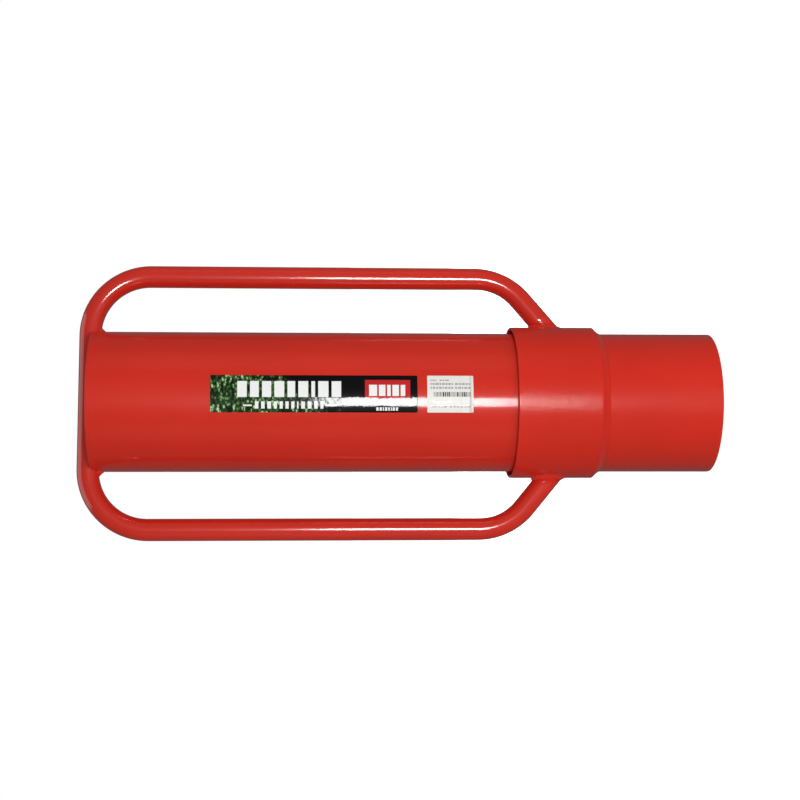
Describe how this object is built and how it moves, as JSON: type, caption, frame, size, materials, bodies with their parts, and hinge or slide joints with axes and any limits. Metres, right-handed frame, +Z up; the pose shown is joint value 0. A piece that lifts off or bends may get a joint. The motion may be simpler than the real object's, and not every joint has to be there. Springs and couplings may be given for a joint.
{
  "type": "post driver",
  "caption": "Hand post driver: heavy steel tube closed by a strike plate, with a bent-tube frame making two side grips and a sleeve near its open mouth.",
  "frame": {"origin": "middle of the open mouth, where the barrel's lower end stands on the ground", "axes": "+Z up the barrel's axis to the strike plate, X across the two grips, -Y the side that carries the labels"},
  "size_m": [0.278, 0.1524, 0.6351],
  "materials": {
    "red_paint": "gloss",
    "weld_paint": "gloss",
    "label_film": "gloss",
    "label_paper": "matt"
  },
  "bodies": {
    "root": {"barrel": "red_paint", "strike_plate": "red_paint", "cap_weld": "weld_paint", "handle_frame": "red_paint", "sleeve": "red_paint", "sleeve_weld": "weld_paint", "leg_weld_left": "weld_paint", "leg_weld_right": "weld_paint", "crossbar_weld_front": "weld_paint", "crossbar_weld_back": "weld_paint", "rim_weld_left": "weld_paint", "rim_weld_right": "weld_paint", "product_label": "label_film", "code_label": "label_paper"}
  },
  "joints": []
}
